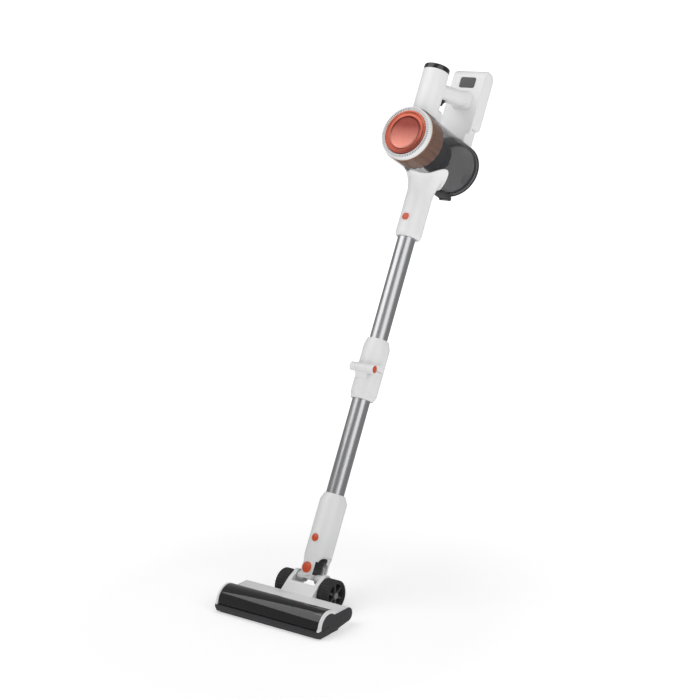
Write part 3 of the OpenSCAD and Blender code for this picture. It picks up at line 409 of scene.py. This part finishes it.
def makeUpperNeck(values):
    low = wandBox("upper_neck")[0]
    cup = cupS / mm
    bottom = low.z
    flare = cup - values["cupRadius"] - values["flareStart"]
    bore = nodeWidth("upper_tube") / 2 + 0.1
    count = 128
    rings = []

    def addRing(makePoint):
        rings.append([wand(*makePoint(2 * math.pi * i / count)) for i in range(count)])

    def onCup(h, angle, radius):
        return Vector((radius * math.sin(angle), h, cup - radius * math.cos(angle)))

    def edgeAt(turn, radius, shrink=1.0):
        degrees = math.degrees(turn)
        side = 1 if degrees <= 180 else -1
        h, angle = alongCurve(values["edgeLine"], degrees if side > 0 else 360 - degrees)
        return onCup(4 + (h - 4) * shrink, side * math.radians(angle) * shrink, radius)

    addRing(lambda turn: (bore * math.sin(turn), -bore * math.cos(turn), bottom + 6))
    addRing(lambda turn: (bore * math.sin(turn), -bore * math.cos(turn), bottom + 0.8))
    for radius, lift in ((bore + 0.8, 0), (values["mouthRadius"] - 1.2, 0), (values["mouthRadius"], 0.9)):
        addRing(lambda turn: (radius * math.sin(turn), 1 - radius * math.cos(turn), bottom + lift))
    for step in range(1, 7):
        t = step / 6
        widening = values["radius"] - values["mouthRadius"]
        radius = values["mouthRadius"] + widening * math.sin(t * math.pi / 2)
        addRing(lambda turn: neckOval(turn, bottom + 0.9 + values["mouthDepth"] * t, radius, values)
                + Vector((0, (1 - t) * -0.8, 0)))
    for step in range(1, 9):
        s = bottom + values["mouthDepth"] + 0.9 + (flare - bottom - values["mouthDepth"] - 0.9) * step / 8
        addRing(lambda turn: neckOval(turn, s, values["radius"], values))
    outer = values["cupRadius"] + values["edge"]

    def flarePoint(turn, t):
        start = neckOval(turn, flare, values["radius"], values)
        end = edgeAt(turn, outer)
        span = end - start
        angle = math.atan2(end.x, cup - end.z)
        outward = Vector((math.sin(angle), 0, -math.cos(angle)))
        lean = (span - outward * span.dot(outward)).normalized() * span.length * values["pullOut"]
        rise = Vector((0, 0, span.length * values["pullUp"]))
        return ((2 * t ** 3 - 3 * t ** 2 + 1) * start + (t ** 3 - 2 * t ** 2 + t) * rise
                + (-2 * t ** 3 + 3 * t ** 2) * end + (t ** 3 - t ** 2) * lean)

    def clearOfCup(point):
        away = Vector((point.x, 0, point.z - cup))
        if away.length < outer:
            away = away.normalized() * outer
            return Vector((away.x, point.y, cup + away.z))
        return point

    for step in range(1, 25):
        addRing(lambda turn: clearOfCup(flarePoint(turn, step / 24)))
    addRing(lambda turn: edgeAt(turn, outer - 0.5, 1.004))
    addRing(lambda turn: edgeAt(turn, values["cupRadius"], 1.0))
    for shrink in (0.85, 0.65, 0.45, 0.3):
        addRing(lambda turn: edgeAt(turn, values["cupRadius"], shrink))
    piece = skin("upperNeck", rings, finish["white_plastic"])
    return rideAs(piece, "upper_neck")


def nodeWidth(node):
    low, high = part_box(node)
    return (high.x - low.x) / mm


makeUpperNeck(upperNeckSet)
print("upper neck made")


def turned(name, place, profile, material, segments=96, closed=False, teeth=0, share=0.5, twist=None):
    # turns (radius, height) rows round the local Z of place; a row may add how far
    # its surface drops inward and backward in the gaps between teeth
    points = []
    faces = []
    count = len(profile)
    for turn in range(segments):
        angle = 2 * math.pi * turn / segments
        for row in profile:
            radius, height = row[0], row[1]
            if len(row) > 2:
                shift = twist(height) if twist else 0
                if (turn * teeth / segments + shift + 1e-4) % 1 >= share:
                    radius, height = radius - row[2], height + row[3]
            points.append(place @ Vector((radius * mm * math.cos(angle), radius * mm * math.sin(angle),
                                          height * mm)))
    for turn in range(segments):
        here, there = turn * count, (turn + 1) % segments * count
        for i in range(count if closed else count - 1):
            j = (i + 1) % count
            faces.append((here + i, there + i, there + j, here + j))
    if not closed:
        faces.append([turn * count for turn in range(segments)])
        faces.append([turn * count + count - 1 for turn in range(segments)][::-1])
    piece = addMesh(name, points, faces, material)
    work = bmesh.new()
    work.from_mesh(piece.data)
    bmesh.ops.remove_doubles(work, verts=work.verts, dist=1e-7)
    bmesh.ops.recalc_face_normals(work, faces=work.faces)
    work.to_mesh(piece.data)
    work.free()
    piece.data.shade_smooth()
    piece.data.set_sharp_from_angle(angle=math.radians(38))
    return piece


def filletRow(radius, height, size, start, end, steps=5):
    # rows of a rounded corner about (radius, height), angles in degrees
    return [(radius + size * math.cos(math.radians(start + (end - start) * k / steps)),
             height + size * math.sin(math.radians(start + (end - start) * k / steps)))
             for k in range(steps + 1)]


# front cover: perforated ring with a dished metal disc
coverRingSet = {"outer": 53.0, "inner": 44.7, "slots": 84, "slotDepth": 1.6, "slotIn": 45.8, "slotOut": 51.4}


def makeCoverRing(values):
    low, high = cupExtent("cover_ring")
    front, rear = low, high
    outer, inner = values["outer"], values["inner"]
    drop = values["slotDepth"]
    rows = [(inner, rear), (inner, front + 1.6), (inner + 0.5, front + 1.2), (values["slotIn"], front + 1.1),
            (values["slotIn"] + 0.3, front + 1.05, 0, drop), (48.5, front + 0.75, 0, drop),
            (values["slotOut"] - 0.6, front + 0.9, 0, drop), (values["slotOut"], front + 1.2)]
    rows += filletRow(outer - 1.2, front + 2.6, 1.2, -60, 0, 4)
    rows += [(outer, front + 5.2), (outer - 0.35, front + 5.35), (outer - 0.35, front + 5.75),
             (outer, front + 5.9),
             (outer, rear - 0.6), (outer - 0.6, rear)]
    piece = turned("coverRing", cupPlace, rows, finish["white_plastic"], values["slots"] * 6, True,
                   values["slots"], 0.5)
    piece.data.materials.append(finish["slot_dark"])
    # painted shade: the recessed slot faces take the dark slot colour
    inverse = cupPlace.inverted()
    for face in piece.data.polygons:
        local = inverse @ face.center
        radius, height = math.hypot(local.x, local.y) / mm, local.z / mm
        if values["slotIn"] < radius < values["slotOut"] and height > front + 1.9:
            face.material_index = 1
    return rideAs(piece, "cover_ring")


# painted shade and highlight on the lacquer: the colour goes from dark to light with height, with the painted
# highlight low in the bowl and high on the rim
def discPaintedShade(name, deep, bright, lowHeight, highHeight):
    material = finish["coral_metal"].copy()
    material.name = name
    tree = material.node_tree
    shader = next(node for node in tree.nodes if node.type == "BSDF_PRINCIPLED")
    coords = next(node for node in tree.nodes if node.type == "TEX_COORD")
    # painted shade: height along Z mixes the dark colour (deep) into the light one (bright), with a little random
    # mottling
    split = tree.nodes.new("ShaderNodeSeparateXYZ")
    tree.links.new(coords.outputs["Object"], split.inputs["Vector"])
    height = spread(tree, split.outputs["Z"], 0, 1, lowHeight, highHeight)
    cloud = addNoise(tree, coords.outputs["Object"], 60, 4)
    shadeAndMottle = tree.nodes.new("ShaderNodeMath")
    shadeAndMottle.operation = "MULTIPLY_ADD"
    tree.links.new(cloud, shadeAndMottle.inputs[0])
    shadeAndMottle.inputs[1].default_value = 0.12
    tree.links.new(height, shadeAndMottle.inputs[2])
    tree.links.new(mixColour(tree, shadeAndMottle.outputs["Value"], deep, bright), shader.inputs["Base Color"])
    return material


coverDiscSet = {"outer": 44.35, "dish": 32.8, "dishDepth": 3.6}


def makeCoverDisc(values):
    front, rear = cupExtent("cover_disc")
    outer, dish = values["outer"], values["dish"]
    deep = front + values["dishDepth"]
    rows = [(0, deep)]
    for k in range(1, 13):  # shallow bowl in the middle
        r = (dish - 1.4) * k / 12
        rows.append((r, deep - (values["dishDepth"] - 1.2) * (r / (dish - 1.4)) ** 2.2))
    rows += [(dish - 0.7, front + 0.75), (dish, front + 0.55), (dish + 0.6, front + 0.75),
             (dish + 1.0, front + 1.5),
             (dish + 1.5, front + 2.1), (dish + 2.2, front + 2.25)]
    rows += [(dish + 2.2 + (outer - dish - 4.2) * k / 6,
              front + 2.25 - 1.9 * (k / 6) ** 1.4) for k in range(1, 7)]
    rows += filletRow(outer - 1.2, front + 1.5, 1.2, -80, 0, 5)
    rows += [(outer, rear - 0.5), (outer - 0.5, rear), (0, rear)]
    middle = middleOf("cover_disc").z
    reachUp = values["outer"] * mm * 0.8
    # painted shade: the rim is painted dark below and light above, and the bowl light below and dark above,
    # standing in for top light on a raised rim and a hollow dish
    rimPaintedShade = discPaintedShade("rim lacquer painted shade", (0.20, 0.028, 0.016), (0.52, 0.12, 0.07), middle - reachUp,
                           middle + reachUp)
    bowlPaintedShade = discPaintedShade("bowl lacquer painted shade", (0.60, 0.22, 0.17), (0.19, 0.03, 0.02), middle - reachUp * 0.7,
                            middle + reachUp * 0.5)
    piece = turned("coverDisc", cupPlace, rows, rimPaintedShade, 144)
    piece.data.materials.append(bowlPaintedShade)
    inverse = cupPlace.inverted()
    for face in piece.data.polygons:
        local = inverse @ face.center
        if math.hypot(local.x, local.y) / mm < dish + 0.3 and local.z / mm < rear - 0.2:
            face.material_index = 1
    return rideAs(piece, "cover_disc")


def cupExtent(node):
    inverse = cupPlace.inverted()
    values = [(inverse @ v.co).z / mm for v in nodeOf[node].data.vertices]
    return min(values), max(values)


makeCoverRing(coverRingSet)
makeCoverDisc(coverDiscSet)

filterSet = {"pleats": 48, "outer": 40.6, "depth": 5.5}


def makeFilter(values):
    front, rear = cupExtent("hepa_filter")
    outer = values["outer"]
    rows = [(0, front), (outer - 8, front), (outer, front + 0.5), (outer, front + 2.5),
            (outer - 0.4, front + 2.6)]
    rows += [(outer - 0.6, front + 2.9, values["depth"], 0), (outer - 0.6, rear - 2.9, values["depth"], 0)]
    rows += [(outer - 0.4, rear - 2.6), (outer, rear - 2.5), (outer, rear - 0.5), (outer - 8, rear),
             (0, rear)]
    piece = turned("pleatedFilter", cupPlace, rows, finish["filter_paper"], values["pleats"] * 4, False,
                   values["pleats"], 0.5)
    return rideAs(piece, "hepa_filter")


makeFilter(filterSet)

# dust cup: clear smoked wall with a rolled mouth, dark rimmed lid
dustCupSet = {"outer": 56.0, "wall": 2.4, "band": 0.5}


def makeDustCup(values):
    front, rear = cupExtent("dust_cup")
    outer, inner = values["outer"], values["outer"] - values["wall"]
    band = values["band"]
    rows = [(outer - 0.8, front), (outer, front + 0.8), (outer, front + 5.2), (outer - band, front + 5.5),
            (outer - band, front + 6.1), (outer, front + 6.4), (outer, rear - 7.4), (outer - band,
                                                                                     rear - 7.1),
            (outer - band, rear - 6.4), (outer, rear - 6.1), (outer, rear - 0.5), (outer - 0.5, rear),
            (inner + 0.4, rear), (inner, rear - 0.4), (inner, front + 0.4), (inner + 0.4, front)]
    piece = turned("dustCup", cupPlace, rows, finish["smoke_clear"], 128, True)
    return rideAs(piece, "dust_cup")


lidSet = {"rounding": 0.7, "rimOuter": 56.3, "rimWidth": 3.4}


def makeLid(values):
    piece = softenedCopy("cup_lid", bodyOf["cup_lid"], values["rounding"])
    piece.data.materials.clear()
    piece.data.materials.append(lidClear)
    rear = cupExtent("cup_lid")[1]
    outer = values["rimOuter"]
    inner = outer - values["rimWidth"]
    rows = [(inner, rear + 0.02), (outer - 3.0, rear + 0.5), (outer - 1.0, rear + 0.5)]
    rows += filletRow(outer - 1.0, rear - 0.7, 1.2, 85, 0, 5)
    rows += [(outer + 0.2, rear - 2.6), (outer - 0.1, rear - 3.0), (outer - 0.1, rear - 2.4),
             (inner, rear - 0.3)]
    rim = turned("lidRim", cupPlace, rows, finish["black_gloss"], 128, True)
    rideOn(rim, bodyOf["cup_lid"])
    return piece


makeDustCup(dustCupSet)
makeLid(lidSet)

# copper cyclone with long air vanes, and its perforated shroud
cycloneSet = {"vanes": 22, "vaneDepth": 2.2, "vaneShare": 0.62, "bore": 22.6, "length": 50.0}


def makeCyclone(values):
    front, rear = cupExtent("cyclone_body")
    profile = nodeProfile("cyclone_body", cupPlace)
    wide = max(spot[0] for spot in profile)
    bore = values["bore"]
    vane = values["vaneDepth"]
    rows = [(bore, front), (wide - 1.0, front), (wide, front + 1.0), (wide, front + 5.0),
            (wide - 0.5, front + 5.5)]
    mouth = min(rear - 3, front + values["length"])
    rows += [(wide - 0.6, front + 6.0, vane, 0), (wide - 0.6, mouth - 3, vane, 0),
             (wide - 1.4, mouth - 1.5, vane, 0),
             (wide - 2.4, mouth, vane * 0.6, 0)]
    rows += [(wide - 5.0, mouth + 0.6), (30.0, mouth + 1.2), (28.0, rear), (bore, rear)]
    piece = turned("cycloneVanes", cupPlace, rows, finish["copper_plastic"], values["vanes"] * 8, True,
                   values["vanes"], values["vaneShare"])
    return rideAs(piece, "cyclone_body")


def nodeProfile(node, place):
    inverse = place.inverted()
    spots = set()
    for vertex in nodeOf[node].data.vertices:
        local = inverse @ vertex.co
        spots.add((round(math.hypot(local.x, local.y) / mm, 1), round(local.z / mm, 1)))
    return sorted(spots, key=lambda spot: (spot[1], spot[0]))


makeCyclone(cycloneSet)
print("front cover, cup and lid made")

# brushed tubes with rolled ends
tubeSet = {"radius": 17.5, "wall": 1.2, "roll": 0.5}


def makeTube(node, name, values):
    low, high = wandBox(node)
    outer, inner, roll = values["radius"], values["radius"] - values["wall"], values["roll"]
    rows = [(outer - roll, low.z), (outer, low.z + roll)]
    steps = 8
    rows += [(outer, low.z + roll + (high.z - low.z - 2 * roll) * k / steps) for k in range(1, steps + 1)]
    rows += [(outer - roll, high.z), (inner + 0.1, high.z), (inner, high.z - 0.3), (inner, low.z + 0.3),
             (inner + 0.1, low.z)]
    return rideAs(turned(name, wandPlace, rows, finish["tube_aluminium"], 96, True), node)


makeTube("lower_tube", "lowerTube", tubeSet)
makeTube("upper_tube", "upperTube", tubeSet)

# ribbed hose in the neck
hoseSet = {"centre": 17.0, "outer": 16.8, "ribPitch": 3.4, "ribDepth": 1.9, "wall": 1.6}


def makeHose(values):
    high = wandBox("neck_hose")[1]
    centre = values["centre"]
    outer = values["outer"]
    rows = []
    for k in range(7):  # ball end that turns in the knuckle
        a = math.radians(-52 + 52 * k / 6)
        rows.append(((outer - 0.9) * math.cos(a), centre + (outer - 0.9) * math.sin(a)))
    s = centre + 0.4
    while s + values["ribPitch"] < high.z - 0.5:
        for share, lift in ((0.06, 0.15), (0.16, 0.75), (0.3, 1.0), (0.44, 1.0), (0.58, 0.75),
                            (0.68, 0.15), (0.84, 0.0)):
            rows.append((outer - values["ribDepth"] * (1 - lift), s + values["ribPitch"] * share))
        s += values["ribPitch"]
    rows.append((outer - values["ribDepth"], high.z - 0.4))
    rows.append((outer - values["ribDepth"] - values["wall"], high.z - 0.4))
    rows.append((outer - values["ribDepth"] - values["wall"], centre - 11.0))
    return rideAs(turned("ribbedHose", wandPlace, rows, finish["hose_rubber"], 72, True), "neck_hose")


makeHose(hoseSet)

# push buttons: domed caps with a pale ring round each
buttonSet = {"dome": 0.9, "edge": 0.7, "ringWidth": 1.5, "ringLift": 0.55}


def makeButton(node, name, place, radius, low, high, values, ringBody=None, ringBase=None):
    # low and high are distances along the place's Z
    edge = values["edge"]
    rows = [(0, low), (radius - 0.3, low), (radius, low + 0.3), (radius, high - edge - values["dome"])]
    rows += filletRow(radius - edge, high - edge - values["dome"], edge, 10, 75, 4)
    rows += [((radius - edge - 0.4) * (1 - k / 6), high - values["dome"] * (1 - k / 6) ** 2)
             for k in range(0, 6)]
    rows += [(0, high)]
    piece = rideAs(turned(name, place, rows, finish["orange_plastic"], 64), node)
    if ringBody:
        inside = radius + 0.12
        outside = inside + values["ringWidth"]
        top = ringBase + values["ringLift"]
        ring = [(inside, ringBase - 1.2), (inside, top - 0.35), (inside + 0.35, top), (outside - 0.5, top),
                (outside, top - 0.45), (outside, ringBase - 1.2)]
        rideOn(turned(name + "Ring", place, ring, finish["pale_ring"], 64, True), ringBody)
    return piece


def reach(node, place):
    inverse = place.inverted()
    values = [(inverse @ v.co).z / mm for v in nodeOf[node].data.vertices]
    return min(values), max(values)


for node, name, s, radius, ringBody in (("head_button", "headButton", 74.5, 7.5, "neck"),
                                        ("wand_button", "wandButton", 716.5, 7.5, "main_unit"),
                                        ("swivel_cap", "swivelCap", 17.0, 10.4, "neck")):
    place = frontAt(s)
    low, high = reach(node, place)
    makeButton(node, name, place, radius, low, high, buttonSet, ringBody, high - 0.9)
print("buttons, tubes and hose made")


# pieces that turn about a line across the head
def acrossPlace(node):
    return Matrix.Translation(middleOf(node)) @ Matrix.Rotation(math.radians(90), 4, "Y")


def spanOf(node, place):
    profile = nodeProfile(node, place)
    return min(r for r, h in profile), max(r for r, h in profile)


tyreSet = {"blocks": 30, "gap": 1.1, "edge": 1.4, "ribs": 5}


def makeTyre(node, name, values):
    place = acrossPlace(node)
    low, high = reach(node, place)
    inner, outer = spanOf(node, place)
    edge, gap = values["edge"], values["gap"]
    rows = [(inner, low + 0.3), (inner + 0.3, low), (outer - edge, low)]
    rows += filletRow(outer - edge, low + edge, edge, -80, -20, 3)
    wide = (high - low - 2 * edge) / values["ribs"]
    for k in range(values["ribs"]):
        start = low + edge + wide * k
        rows += [(outer - 0.9, start + 0.1), (outer - 0.9, start + 0.5), (outer, start + 0.8, gap, 0),
                 (outer, start + wide - 0.8, gap, 0), (outer - 0.9, start + wide - 0.5)]
    rows += filletRow(outer - edge, high - edge, edge, 20, 80, 3)
    rows += [(outer - edge, high), (inner + 0.3, high), (inner, high - 0.3)]
    piece = turned(name, place, rows, finish["black_rubber"], values["blocks"] * 4, True, values["blocks"],
                   0.75)
    return rideAs(piece, node)


makeTyre("left_wheel_tyre", "leftTyre", tyreSet)
makeTyre("right_wheel_tyre", "rightTyre", tyreSet)

napSet = {"tufts": 14, "gap": 1.3, "step": 2.0, "turnsPerMm": 0.028}


def makeNap(values):
    place = acrossPlace("brush_bristles")
    low, high = reach("brush_bristles", place)
    inner, outer = spanOf("brush_bristles", place)
    count = int((high - low - 2) / values["step"])
    rows = [(inner, low), (outer - 1.0, low)]
    for k in range(count + 1):
        rows.append((outer - (0.35 if k % 2 else 0.0), low + 1 + (high - low - 2) * k / count,
                     values["gap"], 0))
    rows += [(outer - 1.0, high), (inner, high)]
    piece = turned("brushNap", place, rows, finish["bristle_fibre"], values["tufts"] * 6, True,
                   values["tufts"], 0.72,
                   lambda height: height * values["turnsPerMm"])
    return rideAs(piece, "brush_bristles")


makeNap(napSet)

foldPlace = acrossPlace("fold_button")
foldLow, foldHigh = reach("fold_button", foldPlace)
foldRadius = spanOf("fold_button", foldPlace)[1]
makeButton("fold_button", "foldButton", foldPlace, foldRadius, foldLow, foldHigh, buttonSet, "upper_wand",
           foldHigh - 0.9)

# slotted shroud inside the cyclone
shroudSet = {"slots": 40, "depth": 0.9, "rows": 9, "pitch": 6.2, "bore": 24.05, "outer": 31, "tip": 6.6}


def makeShroud(values):
    front = cupExtent("cyclone_shroud")[0]
    bore, outer, tip = values["bore"], values["outer"], values["tip"]
    rows = [(bore, front), (outer - 0.4, front), (outer, front + 0.4)]
    for k in range(values["rows"]):
        start = front + 3 + k * values["pitch"]
        radius = outer - 4 * (start - front) / 64
        rows += [(radius, start), (radius - 0.1, start + 0.3, values["depth"], 0),
                 (radius - 0.4, start + 5.2, values["depth"], 0), (radius - 0.4, start + 5.5)]
    rows += [(33, front + 60), (33, front + 63), (27, front + 64), (16, front + 64.2), (9, front + 98),
             (tip, front + 98)]
    rows += [(tip, front + 59), (bore, front + 59)]
    piece = turned("shroudSlots", cupPlace, rows, finish["dark_plastic"], values["slots"] * 4, True,
                   values["slots"], 0.5)
    return rideAs(piece, "cyclone_shroud")


makeShroud(shroudSet)
print("wheels, brush, fold button and shroud made")

roundings = {
    "head_housing": 1.4, "left_side_cap": 0.7, "right_side_cap": 0.7, "front_bumper": 0.8,
    "brush_window": 0.5, "lower_neck": 1.2, "tilt_knuckle": 0.8, "lower_hinge_housing": 1.2,
    "upper_hinge_housing": 1.6, "hand_grip": 1.5, "motor_housing": 1.2,
    "battery_bay": 1.6, "battery_case": 2.4, "trigger": 1.2, "lid_hinge": 0.8,
    "lid_latch": 0.8, "left_wheel_hub": 0.5, "right_wheel_hub": 0.5, "top_cap": 1.2,
    "side_panels": 0.4, "sole_plate": 0.5, "battery_button": 0.4, "brush_core": 0.4,
}
for nodeName, width in roundings.items():
    softenedCopy(nodeName, bodyOf[nodeName], width)
print("shells softened:", len(roundings))

# the studio: white sweep, two tall softboxes and one overhead
stageSet = {
    "floorSize": 260.0, "floorShade": 0.86, "glowNear": 0.34, "glowFar": 0.95, "glowFrom": 0.35,
    "glowTo": 2.2,
    "surround": 0.30, "aim": (0, 0.3, 0.6),
    # direction from the aim point, distance, width, height, brightness
    "softboxes": {
        "leftBox": ((-0.45, -0.51, 0.73), 2.4, 2.2, 2.2, 1.5),
        "rightBox": ((0.86, -0.28, 0.42), 2.4, 1.9, 2.2, 1.2),
        "overhead": ((0.0, 0.1, 1.0), 2.5, 2.4, 2.4, 0.9),
    },
}


def makeStage(values):
    half = values["floorSize"] / 2
    material, tree, shader = startMaterial("pale sweep")
    here = placeOn(tree)
    shade = values["floorShade"]
    cloud = addNoise(tree, here, 3, 3)
    tree.links.new(mixColour(tree, cloud, (shade,) * 3, (shade * 0.985,) * 3), shader.inputs["Base Color"])
    shader.inputs["Roughness"].default_value = 0.85
    shader.inputs["Specular IOR Level"].default_value = 0.1
    away = tree.nodes.new("ShaderNodeVectorMath")
    away.operation = "LENGTH"
    tree.links.new(here, away.inputs[0])
    glow = spread(tree, away.outputs["Value"], values["glowNear"], values["glowFar"], values["glowFrom"],
                  values["glowTo"])
    shader.inputs["Emission Color"].default_value = (1, 1, 1, 1)
    tree.links.new(glow, shader.inputs["Emission Strength"])
    floor = addMesh("floor", [(-half, -half, 0), (half, -half, 0), (half, half, 0), (-half, half, 0)],
                    [(0, 1, 2, 3)], material)
    floor.location.z = cadBounds[0][2] - 0.0002
    floor.visible_glossy = False
    world = bpy.data.worlds.new("studio")
    world.use_nodes = True
    nodes, links = world.node_tree.nodes, world.node_tree.links
    background = nodes["Background"]
    path = nodes.new("ShaderNodeLightPath")
    level = nodes.new("ShaderNodeMapRange")
    level.inputs["To Min"].default_value = values["surround"]
    level.inputs["To Max"].default_value = 1.0
    links.new(path.outputs["Is Camera Ray"], level.inputs["Value"])
    links.new(level.outputs["Result"], background.inputs["Strength"])
    background.inputs["Color"].default_value = (1, 1, 1, 1)
    bpy.context.scene.world = world
    aim = Vector(values["aim"])
    for name, (direction, distance, width, height, level) in values["softboxes"].items():
        place = aim + Vector(direction).normalized() * distance
        light = addSoftLight(name, place, aim, (width, height), level * math.pi * width * height)
        light.visible_camera = False


makeStage(stageSet)
makeCamera(cameraSet)
bpy.context.scene.view_settings.view_transform = "Standard"
print("stage set")
